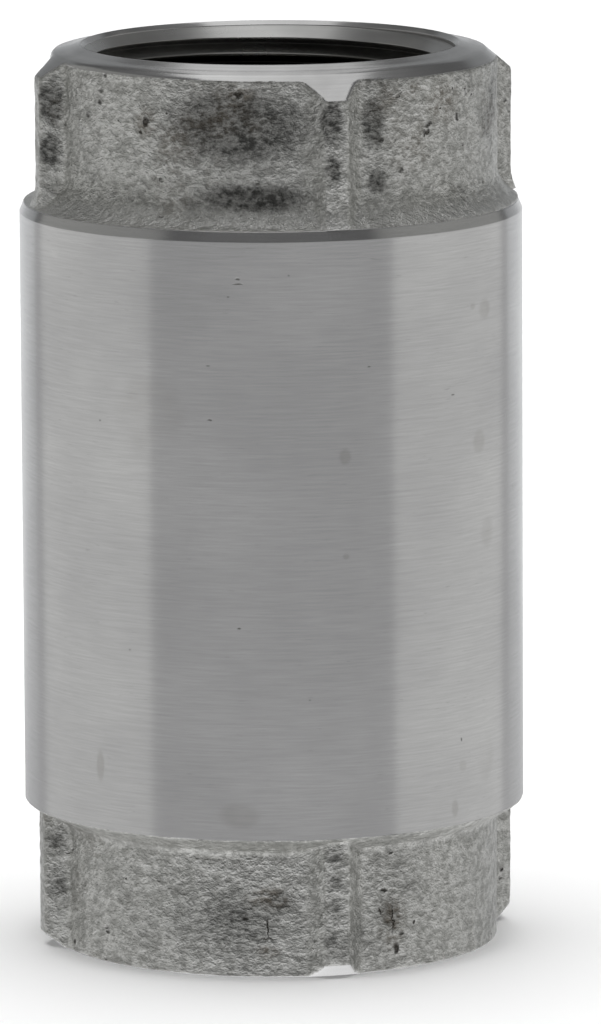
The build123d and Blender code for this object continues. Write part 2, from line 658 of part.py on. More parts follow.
def return_spring():
    """Round wire coil spring with closed, ground ends, between the disc and the guide's flange."""
    foot = DISC_TOP_Z
    head = SPRING_HEAD_Z - FACE_GAP
    end_pitch = SPRING_WIRE_DIAMETER * SPRING_END_PITCH
    height = head - foot - SPRING_WIRE_DIAMETER / 2
    end_part = end_pitch * (2 * SPRING_END_COILS + SPRING_RAMP_COILS)
    working_pitch = (height - end_part) / (SPRING_COILS - 2 * SPRING_END_COILS - SPRING_RAMP_COILS)
    count = int(SPRING_COILS * SPRING_POINTS_PER_COIL)
    points = []
    for i in range(count + 1):
        coil = i / SPRING_POINTS_PER_COIL
        angle = 2 * pi * coil
        z = foot + SPRING_WIRE_DIAMETER / 4 + spring_height(coil, working_pitch, end_pitch)
        points.append((SPRING_RADIUS * cos(angle), SPRING_RADIUS * sin(angle), z))
    path = Spline(*points)
    wire = sweep(Plane(path @ 0, z_dir=path % 0) * Circle(WIRE_RADIUS), path=path, is_frenet=True)
    keep = Pos(0, 0, (foot + head) / 2) * Cylinder(BARREL_RADIUS, head - foot)
    return wire & keep


# ---------------------------------------------------------------------------------------------------
# One STEP file for each piece
# ---------------------------------------------------------------------------------------------------


def pieces():
    """Every separate piece of the valve, by name."""
    return {
        "valve_body": valve_body(),
        "seat_ring": seat_ring(),
        "seat_o_ring": seat_o_ring(),
        "seat_snap_ring": snap_ring(INLET_GROOVE_Z),
        "inlet_guide_bush": inlet_guide_bush(),
        "guide_spider": guide_spider(),
        "outlet_guide_bush": outlet_guide_bush(),
        "guide_snap_ring": snap_ring(OUTLET_GROOVE_Z),
        "return_spring": return_spring(),
        "poppet_stem": poppet_stem(),
        "poppet_disc": poppet_disc(),
        "seal_washer": seal_washer(),
        "seal_retainer": seal_retainer(),
        "lock_washer": lock_washer(),
        "lock_nut": lock_nut(),
    }


if __name__ == "__main__":
    os.makedirs("parts", exist_ok=True)
    for name, shape in pieces().items():
        export_step(shape, f"parts/{name}.step")
        print(name, round(shape.volume, 1), len(shape.solids()), shape.is_valid)
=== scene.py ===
from math import atan2, ceil, cos, hypot, pi, radians, sin, tan

import bpy
from mathutils import Matrix, Vector


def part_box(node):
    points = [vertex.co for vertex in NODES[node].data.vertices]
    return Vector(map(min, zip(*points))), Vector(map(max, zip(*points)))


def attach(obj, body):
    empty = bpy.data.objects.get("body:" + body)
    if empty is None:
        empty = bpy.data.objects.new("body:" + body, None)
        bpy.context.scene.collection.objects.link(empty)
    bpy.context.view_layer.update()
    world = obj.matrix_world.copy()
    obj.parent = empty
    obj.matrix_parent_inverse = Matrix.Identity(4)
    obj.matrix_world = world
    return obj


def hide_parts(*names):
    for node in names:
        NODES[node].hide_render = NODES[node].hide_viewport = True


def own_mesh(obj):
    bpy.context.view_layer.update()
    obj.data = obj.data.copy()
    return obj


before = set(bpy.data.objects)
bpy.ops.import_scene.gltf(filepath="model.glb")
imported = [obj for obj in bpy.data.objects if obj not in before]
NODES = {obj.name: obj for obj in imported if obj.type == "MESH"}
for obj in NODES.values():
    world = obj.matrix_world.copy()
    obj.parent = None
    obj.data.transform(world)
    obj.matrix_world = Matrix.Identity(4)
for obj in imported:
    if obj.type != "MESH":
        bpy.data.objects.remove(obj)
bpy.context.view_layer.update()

# Looks of a stainless in-line check valve. Sizes are written in millimetres and turned into metres by MM.

MM = 0.001
HOUSING = "housing"

_, body_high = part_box("valve_body")
HEIGHT = body_high.z / MM
BARREL_R = body_high.x / MM
spring_low, spring_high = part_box("return_spring")
SPRING_LOW = spring_low.z / MM
SPRING_HIGH = spring_high.z / MM

# Body, outside. Names ending in R are radii, and in SLOPE are degrees from the horizontal.
HUB_R = 25.3
BARREL_LOW = 16.2
BARREL_HIGH = 84.0
BARREL_EDGE_R = BARREL_R - 0.45  # inner and upper end of the edge break on top of the barrel
BARREL_EDGE_Z = 85.1
SHOULDER_SLOPE = 30.0  # of the cast shoulder under the barrel
SHOULDER_FILLET = 1.2
HOLLOW_TOP = 89.4  # where the hollow fillet above the barrel meets the hub
HOLLOW_ROWS = 11
RIB_COUNT = 4
RIB_START = 14.6  # angle from +X to the first rib
RIB_HEIGHT = 2.4
RIB_CROWN = 2.3  # width over the crown
RIB_FOOT = 7.2  # width where it meets the hub
RIM_EDGE_R = 25.0  # outer edge of the outlet's bevelled rim
RIM_EDGE_DROP = 1.17
RIM_EDGE_FILLET = 0.9
CHAMFER_SLOPE = 39.5  # of the turned chamfers that cut the ribs
INLET_FACE_R = 25.6
OUTLET_BAND = 3.6  # the casting's mesh is finer this near to the outlet rim, where the chamfer crosses it
INLET_BAND = 2.4

# Body, inside
MOUTH_R = 21.5
MOUTH_SLOPE = 2.3 / 2.4  # radius lost for each millimetre in
ROOT_R = 21.0  # thread root at the mouth
SOCKET = 19.0
THREAD_PITCH = 25.4 / 11.5
THREAD_DEPTH = 1.77
THREAD_TAPER = 1 / 32  # radius lost for each millimetre in
INSERT_R = 18.6
GROOVE_R = 19.5
SEAT_GROOVE_LOW = 19.7
SEAT_GROOVE_HIGH = 21.0
WEB_R = 16.6
WEB_LOW = 27.0
WEB_HIGH = 31.0
CHAMBER_R = 23.2
CHAMBER_LOW = 35.0
CHAMBER_HIGH = 70.0
CHAMBER_FILLET = 1.5
LIP_R = 17.2
LIP_LOW = 75.86
LIP_HIGH = 76.96
GUIDE_GROOVE_LOW = 81.0
GUIDE_GROOVE_HIGH = 82.3


# ---------------------------------------------------------------------------------------------------
# Node trees
# ---------------------------------------------------------------------------------------------------


class Tree:
    """Short ways to add nodes to a tree and wire them up."""

    def __init__(self, tree):
        self.tree = tree

    def node(self, kind, inputs=(), out=0, **settings):
        made = self.tree.nodes.new(kind)
        for name, value in settings.items():
            setattr(made, name, value)
        for key, value in dict(inputs).items():
            self.feed(made.inputs[key], value)
        return made.outputs[out] if out is not None else made

    def feed(self, socket, value):
        if isinstance(value, bpy.types.NodeSocket):
            self.tree.links.new(value, socket)
        else:
            socket.default_value = value

    def math(self, operation, *values):
        return self.node("ShaderNodeMath", enumerate(values), operation=operation)

    def add(self, a, b):
        return self.math("ADD", a, b)

    def sub(self, a, b):
        return self.math("SUBTRACT", a, b)

    def mul(self, a, b):
        return self.math("MULTIPLY", a, b)

    def div(self, a, b):
        return self.math("DIVIDE", a, b)

    def vec(self, operation, *values, out=0):
        return self.node("ShaderNodeVectorMath", enumerate(values), out=out, operation=operation)

    def xyz(self, vector):
        return self.node("ShaderNodeSeparateXYZ", {0: vector}, out=None).outputs

    def join(self, x, y, z):
        return self.node("ShaderNodeCombineXYZ", {0: x, 1: y, 2: z})

    def ramp(self, value, low, high, to_low=0.0, to_high=1.0, smooth=False):
        kind = "SMOOTHSTEP" if smooth else "LINEAR"
        return self.node(
            "ShaderNodeMapRange",
            {0: value, 1: low, 2: high, 3: to_low, 4: to_high},
            interpolation_type=kind,
        )

    def noise(self, vector, scale, detail=2.0, roughness=0.5, w=0.0, out=0):
        return self.node(
            "ShaderNodeTexNoise",
            {"Vector": vector, "W": w, "Scale": scale, "Detail": detail, "Roughness": roughness},
            out=out,
            noise_dimensions="4D",
        )


# ---------------------------------------------------------------------------------------------------
# Geometry Nodes
# ---------------------------------------------------------------------------------------------------


def geometry_tree(name, sizes):
    """An empty Geometry Nodes tree with a geometry input and one named input for each size."""
    tree = bpy.data.node_groups.new(name, "GeometryNodeTree")
    face = tree.interface
    face.new_socket("Geometry", in_out="OUTPUT", socket_type="NodeSocketGeometry")
    face.new_socket("Geometry", in_out="INPUT", socket_type="NodeSocketGeometry")
    for label, value in sizes.items():
        kind = {int: "NodeSocketInt", float: "NodeSocketFloat"}.get(type(value), "NodeSocketMaterial")
        socket = face.new_socket(label, in_out="INPUT", socket_type=kind)
        if kind != "NodeSocketMaterial":
            socket.default_value = value
    t = Tree(tree)
    t.given = t.node("NodeGroupInput", out=None).outputs
    return t


def close_tree(t, geometry, material=None):
    """Every tree ends by realizing its instances and setting its material."""
    real = t.node("GeometryNodeRealizeInstances", {"Geometry": geometry})
    if material is not None:
        real = t.node("GeometryNodeSetMaterial", {"Geometry": real, "Material": material})
    out = t.node("NodeGroupOutput", out=None)
    t.tree.links.new(real, out.inputs[0])


def grown(name, mesh, tree, sizes):
    """Runs a tree on a mesh with these sizes and keeps the result as a plain mesh object."""
    piece = bpy.data.objects.new(name, mesh)
    bpy.context.scene.collection.objects.link(piece)
    modifier = piece.modifiers.new(name, "NODES")
    modifier.node_group = tree
    for item in tree.interface.items_tree:
        if item.in_out == "INPUT" and item.name in sizes:
            modifier[item.identifier] = sizes[item.name]
    graph = bpy.context.evaluated_depsgraph_get()
    made = bpy.data.meshes.new_from_object(piece.evaluated_get(graph), depsgraph=graph)
    piece.modifiers.remove(modifier)
    piece.data = made
    made.name = name
    return piece


def store(mesh, name, values):
    """Stores one number on each of the mesh's points."""
    mesh.attributes.new(name, "FLOAT", "POINT")
    mesh.attributes[name].data.foreach_set("value", values)


def outline_mesh(name, points, finishes=None):
    """A closed outline of (radius, height) points in millimetres as a loop of edges, with a finish number
    and an outward direction stored on each point."""
    mesh = bpy.data.meshes.new(name)
    count = len(points)
    edges = [(i, (i + 1) % count) for i in range(count)]
    mesh.from_pydata([(r * MM, 0, z * MM) for r, z in points], edges, [])
    if finishes:
        store(mesh, "finish", [float(f) for f in finishes])
        outward = []
        for i in range(count):
            along = (Vector(points[(i + 1) % count]) - Vector(points[i - 1])).normalized()
            outward += [-along.y, 0.0, along.x]
        mesh.attributes.new("outward", "FLOAT_VECTOR", "POINT")
        mesh.attributes["outward"].data.foreach_set("vector", outward)
    return mesh


def wound_grid(t, columns, rows):
    """A grid whose vertices know their column and row. Rows and columns both run one past the last, which
    falls on the first again."""
    across = t.node("FunctionNodeIntegerMath", {0: rows, 1: 1}, operation="ADD")
    along = t.node("FunctionNodeIntegerMath", {0: columns, 1: 1}, operation="ADD")
    grid = t.node("GeometryNodeMeshGrid", {"Vertices X": along, "Vertices Y": across})
    index = t.node("GeometryNodeInputIndex")
    column = t.node("FunctionNodeIntegerMath", {0: index, 1: across}, operation="DIVIDE")
    row = t.node("FunctionNodeIntegerMath", {0: index, 1: across}, operation="MODULO")
    return grid, column, t.node("FunctionNodeIntegerMath", {0: row, 1: rows}, operation="MODULO")


def sampled(t, geometry, name, kind, index):
    """The value of a named point attribute of another geometry at an index."""
    value = t.node("GeometryNodeInputNamedAttribute", {"Name": name}, data_type=kind)
    return t.node(
        "GeometryNodeSampleIndex",
        {"Geometry": geometry, "Value": value, "Index": index},
        data_type=kind,
        domain="POINT",
    )


def place(t, geometry, position):
    return t.node("GeometryNodeSetPosition", {"Geometry": geometry, "Position": position})


def body_tree(sizes):
    """Winds the body's outline round the centre line, raises the cast ribs, gives the cast parts their
    uneven skin and lets the lathe's chamfers cut through both."""
    t = geometry_tree("ribbed cast body", sizes)
    g = t.given
    outline = g["Geometry"]
    rows = t.node("GeometryNodeAttributeDomainSize", {"Geometry": outline})
    grid, column, row = wound_grid(t, g["Steps Round"], rows)
    face_row = t.node("GeometryNodeInputIndex")
    face_row = t.node("FunctionNodeIntegerMath", {0: face_row, 1: rows}, operation="MODULO")
    grid = t.node(
        "GeometryNodeStoreNamedAttribute",
        {"Geometry": grid, "Name": "finish", "Value": sampled(t, outline, "finish", "FLOAT", face_row)},
        data_type="FLOAT",
        domain="FACE",
    )
    drawn_at = sampled(t, outline, "position", "FLOAT_VECTOR", row)
    outward = sampled(t, outline, "outward", "FLOAT_VECTOR", row)
    cast = sampled(t, outline, "cast", "FLOAT", row)
    hub = sampled(t, outline, "hub", "FLOAT", row)
    radius, _, height = t.xyz(drawn_at)

    turn = t.mul(t.div(column, g["Steps Round"]), 2 * pi)
    pace = t.div(2 * pi, g["Rib Count"])
    off = t.sub(turn, g["Rib Start"])
    # columns bunch up at the ribs
    bunch = t.math("SINE", t.mul(off, g["Rib Count"]))
    turn = t.sub(turn, t.mul(bunch, t.div(g["Bunching"], g["Rib Count"])))
    # the casting stood a little off centre in the lathe, more so at the outlet
    set_off = t.add(g["Set Off Low"], t.mul(height, g["Set Off Lean"]))
    off = t.sub(turn, g["Rib Start"])
    off = t.add(off, t.div(t.mul(set_off, t.math("SINE", turn)), g["Hub Radius"]))
    nearest = t.mul(t.math("ROUND", t.div(off, pace)), pace)
    wide = t.mul(t.math("ABSOLUTE", t.sub(off, nearest)), g["Hub Radius"])

    # uneven skin of the casting, as an offset along the outward direction
    round_x = t.math("COSINE", turn)
    round_y = t.math("SINE", turn)
    lie = t.join(t.mul(radius, round_x), t.mul(radius, round_y), height)
    swell = t.mul(t.sub(t.noise(lie, 190, 1.5, 0.5, g["Seed"]), 0.5), g["Swell"])
    heavy = t.ramp(t.noise(lie, 70, 1.0, 0.5, t.add(g["Seed"], 1.0)), 0.4, 0.6, 0.35, 1.0)
    flat = t.vec("MULTIPLY", lie, (1.0, 1.0, 1.9))
    grain = t.mul(t.sub(t.noise(flat, 620, 3.0, 0.62, g["Seed"]), 0.5), t.mul(g["Grain"], heavy))
    skin = t.mul(t.add(swell, grain), cast)
    wander = t.noise(lie, 240, 1.0, 0.5, t.add(g["Seed"], 3.0))
    wide = t.add(wide, t.mul(t.sub(wander, 0.5), g["Rib Wander"]))

    foot = t.mul(g["Rib Foot"], 0.5)
    crown = t.mul(g["Rib Crown"], 0.5)
    climb = t.math("MAXIMUM", t.div(t.sub(foot, wide), t.sub(foot, crown)), 0.0)
    climb = t.math("SMOOTH_MIN", t.math("POWER", climb, 1.45), 1.0, 0.12)
    upper = t.ramp(height, 0.06, 0.061)
    flare = t.mul(t.math("MAXIMUM", t.sub(g["Flare Top"], height), 0.0), upper)
    rise = t.mul(climb, t.add(g["Rib Height"], t.mul(flare, 0.32)))
    ribbed = t.math("SMOOTH_MAX", radius, t.add(g["Hub Radius"], rise), 0.0004)
    ribbed = t.add(ribbed, t.mul(set_off, t.math("COSINE", turn)))
    ribbed = t.node("ShaderNodeMix", {0: hub, 2: radius, 3: ribbed}, data_type="FLOAT")

    out_r, _, out_z = t.xyz(outward)
    ribbed = t.add(ribbed, t.mul(out_r, skin))
    height = t.add(height, t.mul(out_z, skin))

    # turned chamfers
    slope = g["Chamfer Run"]
    top_limit = t.add(g["Outlet Face Radius"], t.mul(t.sub(g["Outlet Edge Z"], height), slope))
    low_limit = t.add(g["Inlet Face Radius"], t.mul(height, slope))
    limit = t.math("MINIMUM", top_limit, low_limit)
    cut = t.math("SMOOTH_MIN", ribbed, limit, 0.0003)
    on_hub = t.node("ShaderNodeMix", {0: hub, 2: ribbed, 3: cut}, data_type="FLOAT")

    shaved = t.math("GREATER_THAN", t.sub(ribbed, limit), 0.00002)
    shaved = t.mul(shaved, hub)
    grid = t.node(
        "GeometryNodeStoreNamedAttribute",
        {"Geometry": grid, "Name": "shaved", "Value": shaved},
        data_type="FLOAT",
        domain="POINT",
    )
    wound = place(t, grid, t.join(t.mul(on_hub, round_x), t.mul(on_hub, round_y), height))
    wound = t.node("GeometryNodeMergeByDistance", {"Geometry": wound, "Distance": 0.000004})
    wound = t.node("GeometryNodeSetShadeSmooth", {"Geometry": wound})

    finish = t.node("GeometryNodeInputNamedAttribute", {"Name": "finish"}, data_type="FLOAT")
    shaved = t.node("GeometryNodeInputNamedAttribute", {"Name": "shaved"}, data_type="FLOAT")
    for number, label in enumerate(("Cast", "Barrel", "Faced", "Bored")):
        here = t.node("FunctionNodeCompare", {0: finish, 1: float(number), 12: 0.1}, operation="EQUAL")
        wound = t.node(
            "GeometryNodeSetMaterial", {"Geometry": wound, "Selection": here, "Material": g[label]}
        )
    is_cast = t.node("FunctionNodeCompare", {0: finish, 1: 0.0, 12: 0.1}, operation="EQUAL")
    is_shaved = t.math("GREATER_THAN", shaved, 0.5)
    both = t.node("FunctionNodeBooleanMath", {0: is_cast, 1: is_shaved}, operation="AND")
    wound = t.node("GeometryNodeSetMaterial", {"Geometry": wound, "Selection": both, "Material": g["Faced"]})
    # the outline runs clockwise, so its faces are turned to point outwards
    wound = t.node("GeometryNodeFlipFaces", {"Mesh": wound})
    close_tree(t, wound)
    return t.tree


def corner_points(corner, before, after, radius, steps):
    """An arc that rounds one corner of an outline."""
    here, back, on = Vector(corner), Vector(before) - Vector(corner), Vector(after) - Vector(corner)
    if radius <= 0:
        return [tuple(here)]
    half = back.angle(on) / 2
    run = min(radius / tan(half), 0.45 * back.length, 0.45 * on.length)
    radius = run * tan(half)
    a = here + back.normalized() * run
    b = here + on.normalized() * run
    middle = here + (back.normalized() + on.normalized()).normalized() * (radius / sin(half))
    points = []
    for i in range(steps + 1):
        mix = a.lerp(b, i / steps) - middle
        points.append(tuple(middle + mix.normalized() * radius))
    return points


def rounded_outline(corners):
    """Points and finishes of an outline given as (radius, height, rounding, steps, finish, spacing). The
    finish and the spacing belong to the stretch after the corner."""
    arcs = []
    count = len(corners)
    for i, (r, z, rounding, steps, _, _) in enumerate(corners):
        before = corners[i - 1][:2]
        after = corners[(i + 1) % count][:2]
        arcs.append(corner_points((r, z), before, after, rounding, steps))
    points, finishes = [], []
    for i, arc in enumerate(arcs):
        finish, spacing = corners[i][4:]
        for p in arc:
            points.append(p)
            finishes.append(finish)
        start, end = Vector(arc[-1]), Vector(arcs[(i + 1) % count][0])
        length = (end - start).length
        parts = max(1, ceil(length / spacing))
        stops = [k / parts for k in range(1, parts)]
        edge = min(0.12, length / 5) / length
        if length > 0.6:
            stops = [edge] + [s for s in stops if edge * 1.5 < s < 1 - edge * 1.5] + [1 - edge]
        for s in stops:
            points.append(tuple(start.lerp(end, s)))
            finishes.append(finish)
    return points, finishes


CAST, TURNED, FACED, BORED = range(4)


def body_corners():
    """The body's outline, from the outlet rim down the outside and back up through the bore."""
    top = HEIGHT
    run = 1 / tan(radians(CHAMFER_SLOPE))
    hub_top = top - RIM_EDGE_DROP - (HUB_R - RIM_EDGE_R) / run
    wide, tall = BARREL_EDGE_R - HUB_R, HOLLOW_TOP - BARREL_EDGE_Z
    sweep_r = (wide**2 + tall**2) / (2 * wide)
    shoulder_foot = BARREL_LOW - (BARREL_R - HUB_R) * tan(radians(SHOULDER_SLOPE))
    root = (MOUTH_R - ROOT_R) / MOUTH_SLOPE
    thread_end_r = ROOT_R - SOCKET * THREAD_TAPER
    whole = HEIGHT  # a spacing that leaves a straight stretch undivided
    corners = [
        (MOUTH_R, top, 0.12, 2, FACED, 0.6),
        (RIM_EDGE_R, top - RIM_EDGE_DROP, RIM_EDGE_FILLET, 4, FACED, 0.3),
        (HUB_R, hub_top, 0.15, 2, CAST, 0.21),
        (HUB_R, top - OUTLET_BAND, 0, 0, CAST, 0.55),
        (HUB_R, HOLLOW_TOP, 0, 0, CAST, 0.4),
    ]
    start, end = pi, pi + atan2(tall, HUB_R + sweep_r - BARREL_EDGE_R)
    for k in range(1, HOLLOW_ROWS):
        a = start + (end - start) * k / HOLLOW_ROWS
        hollow = (HUB_R + sweep_r + sweep_r * cos(a), HOLLOW_TOP + sweep_r * sin(a))
        corners.append((*hollow, 0, 0, CAST, 0.5))
    corners += [
        (BARREL_EDGE_R, BARREL_EDGE_Z, 0.1, 2, TURNED, 0.5),
        (BARREL_R, BARREL_HIGH, 0.12, 2, TURNED, 17.0),
        (BARREL_R, BARREL_LOW, 0.15, 2, CAST, 0.4),
        (HUB_R, shoulder_foot, SHOULDER_FILLET, 4, CAST, 0.55),
        (HUB_R, INLET_BAND, 0, 0, CAST, 0.3),
        (HUB_R, 0, 0.08, 1, FACED, 0.7),
        (MOUTH_R, 0, 0.12, 2, FACED, 0.3),
        (ROOT_R, root, 0, 0, BORED, whole),
        (thread_end_r, SOCKET, 0.2, 1, BORED, whole),
        (INSERT_R, SOCKET, 0.1, 1, BORED, whole),
        (INSERT_R, SEAT_GROOVE_LOW, 0.05, 1, BORED, whole),
        (GROOVE_R, SEAT_GROOVE_LOW, 0.1, 1, BORED, whole),
        (GROOVE_R, SEAT_GROOVE_HIGH, 0.1, 1, BORED, whole),
        (INSERT_R, SEAT_GROOVE_HIGH, 0.05, 1, BORED, whole),
        (INSERT_R, WEB_LOW, 0.2, 1, BORED, whole),
        (WEB_R, WEB_LOW, 0.2, 1, BORED, whole),
        (WEB_R, WEB_HIGH, 0.4, 2, BORED, whole),
        (CHAMBER_R, CHAMBER_LOW, CHAMBER_FILLET, 3, BORED, whole),
        (CHAMBER_R, CHAMBER_HIGH, CHAMBER_FILLET, 3, BORED, whole),
        (LIP_R, LIP_LOW, 0.2, 1, BORED, whole),
        (LIP_R, LIP_HIGH, 0.1, 1, BORED, whole),
        (INSERT_R, LIP_HIGH, 0.2, 1, BORED, whole),
        (INSERT_R, GUIDE_GROOVE_LOW, 0.05, 1, BORED, whole),
        (GROOVE_R, GUIDE_GROOVE_LOW, 0.1, 1, BORED, whole),
        (GROOVE_R, GUIDE_GROOVE_HIGH, 0.1, 1, BORED, whole),
        (INSERT_R, GUIDE_GROOVE_HIGH, 0.05, 1, BORED, whole),
        (INSERT_R, top - SOCKET, 0.1, 1, BORED, whole),
        (thread_end_r, top - SOCKET, 0.2, 1, BORED, whole),
        (ROOT_R, top - root, 0, 0, FACED, 0.3),
    ]
    return corners


def make_body(materials):
    """The body in one closed mesh, with its four finishes set by where each face came from."""
    points, finishes = rounded_outline(body_corners())
    mesh = outline_mesh("body outline", points, finishes)
    count = len(points)
    cast, hub = [], []
    for i, (r, z) in enumerate(points):
        cast.append(float(finishes[i - 1] == CAST and finishes[i] == CAST))
        outside = r > CHAMBER_R + 0.3
        hub.append(float(outside and (z < BARREL_LOW - 0.3 or z > BARREL_EDGE_Z + 0.05)))
    store(mesh, "cast", cast)
    store(mesh, "hub", hub)
    sizes = {
        "Steps Round": 428,
        "Seed": 4.0,
        "Swell": 0.26 * MM,
        "Grain": 0.42 * MM,
        "Set Off Low": 0.15 * MM,
        "Set Off Lean": 0.3 / HEIGHT,
        "Hub Radius": HUB_R * MM,
        "Rib Count": RIB_COUNT,
        "Rib Start": radians(RIB_START),
        "Rib Height": RIB_HEIGHT * MM,
        "Rib Crown": RIB_CROWN * MM,
        "Rib Foot": RIB_FOOT * MM,
        "Rib Wander": 0.35 * MM,
        "Flare Top": 87.2 * MM,
        "Bunching": 0.45,
        "Chamfer Run": 1 / tan(radians(CHAMFER_SLOPE)),
        "Outlet Face Radius": RIM_EDGE_R * MM,
        "Outlet Edge Z": (HEIGHT - RIM_EDGE_DROP) * MM,
        "Inlet Face Radius": INLET_FACE_R * MM,
        "Cast": materials["cast"],
        "Barrel": materials["barrel"],
        "Faced": materials["faced"],
        "Bored": materials["bored"],
    }
    return grown("body_casting", mesh, body_tree(sizes), sizes)


def thread_tree(sizes):
    """Winds a thread's section round and up the bore, fades it in and out at its ends, and lets the
    countersink cut it at the mouth."""
    t = geometry_tree("pipe thread", sizes)
    g = t.given
    section = g["Geometry"]
    rows = t.node("GeometryNodeAttributeDomainSize", {"Geometry": section})
    columns = t.node("FunctionNodeIntegerMath", {0: g["Turns"], 1: g["Steps Per Turn"]}, operation="MULTIPLY")
    grid, column, row = wound_grid(t, columns, rows)
    depth, _, along = t.xyz(sampled(t, section, "position", "FLOAT_VECTOR", row))
    turns = t.div(column, g["Steps Per Turn"])
    left = t.sub(g["Turns"], turns)
    fade_in = t.ramp(turns, 0.0, g["Fade Turns"], smooth=True)
    fade = t.mul(fade_in, t.ramp(left, 0.0, g["Fade Turns"], smooth=True))
    middle = t.add(g["Start Z"], t.mul(turns, g["Pitch"]))
    height = t.add(middle, t.mul(along, fade))
    from_mouth = t.math("MAXIMUM", t.mul(t.sub(height, g["Mouth Z"]), g["Inward"]), 0.0)
    height = t.add(g["Mouth Z"], t.mul(from_mouth, g["Inward"]))
    root = t.sub(g["Root Radius"], t.mul(from_mouth, g["Taper"]))
    radius = t.sub(root, t.mul(depth, fade))
    cone = t.sub(g["Mouth Radius"], t.mul(from_mouth, g["Mouth Slope"]))
    radius = t.math("MAXIMUM", radius, cone)
    turn = t.mul(turns, 2 * pi)
    round_x = t.mul(radius, t.math("COSINE", turn))
    round_y = t.mul(radius, t.math("SINE", turn))
    wound = place(t, grid, t.join(round_x, round_y, height))
    wound = t.node("GeometryNodeMergeByDistance", {"Geometry": wound, "Distance": 0.000002})
    wound = t.node("GeometryNodeFlipFaces", {"Mesh": wound})
    wound = t.node("GeometryNodeSetShadeSmooth", {"Geometry": wound})
    close_tree(t, wound, g["Metal"])
    return t.tree


def divided(points, longest):
    """The same line of points with its long straights divided."""
    finer = points[:1]
    for (u0, v0), (u1, v1) in zip(points, points[1:]):
        parts = ceil(hypot(u1 - u0, v1 - v0) / longest)
        finer += [(u0 + (u1 - u0) * k / parts, v0 + (v1 - v0) * k / parts) for k in range(1, parts + 1)]
    return finer


def make_threads(materials):
    """The two pipe threads. The section is drawn as (depth into the bore, place along it)."""
    edge = THREAD_PITCH / 2 - 0.05  # the section stops just short of its neighbour's
    crest = 0.09  # half the flat on the crest
    flank = crest + (edge - crest) * 0.5
    climb = [
        (-0.2, edge),
        (0.0, edge),
        (0.12, edge - 0.09),
        (THREAD_DEPTH * 0.5, flank),
        (THREAD_DEPTH - 0.14, crest + 0.08),
        (THREAD_DEPTH, crest),
    ]
    section = [(depth, -along) for depth, along in climb] + climb[::-1]
    sizes = {
        "Turns": 8,
        "Steps Per Turn": 180,
        "Fade Turns": 0.15,
        "Pitch": THREAD_PITCH * MM,
        "Start Z": 0.0,
        "Mouth Z": 0.0,
        "Inward": 1.0,
        "Root Radius": ROOT_R * MM,
        "Mouth Radius": (MOUTH_R + 0.03) * MM,  # just behind the body's own countersink
        "Mouth Slope": MOUTH_SLOPE,
        "Taper": THREAD_TAPER,
        "Metal": materials["thread"],
    }
    tree = thread_tree(sizes)
    made = []
    ends = (
        ("inlet_thread_form", -0.1, 0.0, 1.0),
        ("outlet_thread_form", HEIGHT - 17.5, HEIGHT, -1.0),
    )
    for name, start, mouth, inward in ends:
        mesh = outline_mesh(name, divided(section, 0.2))
        here = dict(sizes, **{"Start Z": start * MM, "Mouth Z": mouth * MM, "Inward": inward})
        made.append(grown(name, mesh, tree, here))
    return made


# ---------------------------------------------------------------------------------------------------
# Materials. Marks are placed by (angle from the front in degrees, height, half width, half height) in mm.
# ---------------------------------------------------------------------------------------------------


def surface(name, colour, roughness, metallic=1.0):
    """A material with its own uniform values, the tree to wire detail into, its shader, and the piece's own
    coordinates. It is a metal unless metallic is 0."""
    material = bpy.data.materials.new(name)
    material.use_nodes = True
    t = Tree(material.node_tree)
    shader = material.node_tree.nodes["Principled BSDF"]
    shader.inputs["Metallic"].default_value = metallic
    shader.inputs["Base Color"].default_value = (*colour, 1)
    shader.inputs["Roughness"].default_value = roughness
    coords = t.node("ShaderNodeTexCoord", out="Object")
    return material, t, shader, coords


def mixed(t, amount, a, b):
    """Blend of two colours."""
    mix = t.node("ShaderNodeMix", {0: amount}, out=None, data_type="RGBA")
    for socket, value in ((mix.inputs[6], a), (mix.inputs[7], b)):
        t.feed(socket, value if isinstance(value, bpy.types.NodeSocket) else (*value, 1))
    return mix.outputs[2]


def drawn_round(t, shader, amount):
    """Tool marks that run round the centre line spread reflections across themselves."""
    shader.inputs["Anisotropic"].default_value = amount
    shader.inputs["Anisotropic Rotation"].default_value = 0.25
    tangent = t.node("ShaderNodeTangent", direction_type="RADIAL", axis="Z")
    t.feed(shader.inputs["Tangent"], tangent)


def bumped(t, shader, height, distance):
    """Fine relief: a height of 1 stands this distance proud, in metres."""
    relief = t.node("ShaderNodeBump", {"Height": height, "Distance": distance, "Strength": 1.0})
    t.feed(shader.inputs["Normal"], relief)


def spot(t, at, centre, size, soft):
    """1 at the centre of a small oval mark and 0 outside it. Centre and size are in millimetres."""
    away = t.vec("SUBTRACT", at, tuple(c * MM for c in centre))
    away = t.vec("MULTIPLY", away, tuple(1 / (s * MM) for s in size))
    return t.ramp(t.vec("LENGTH", away, out=1), soft, 1.0, 1.0, 0.0, smooth=True)


def marks(t, at, radius, places, soft=0.45):
    """All the oval marks at these places, given as (angle from the front, height, half width, half
    height). They run straight in towards the centre line."""
    both = None
    x, y, z = t.xyz(at)
    inward = t.div(radius * MM, t.math("SQRT", t.add(t.mul(x, x), t.mul(y, y))))
    at = t.join(t.mul(x, inward), t.mul(y, inward), z)
    for angle, height, wide, tall in places:
        a = radians(angle)
        here = spot(t, at, (radius * sin(a), -radius * cos(a), height), (wide, wide, tall), soft)
        both = here if both is None else t.math("MAXIMUM", both, here)
    return both


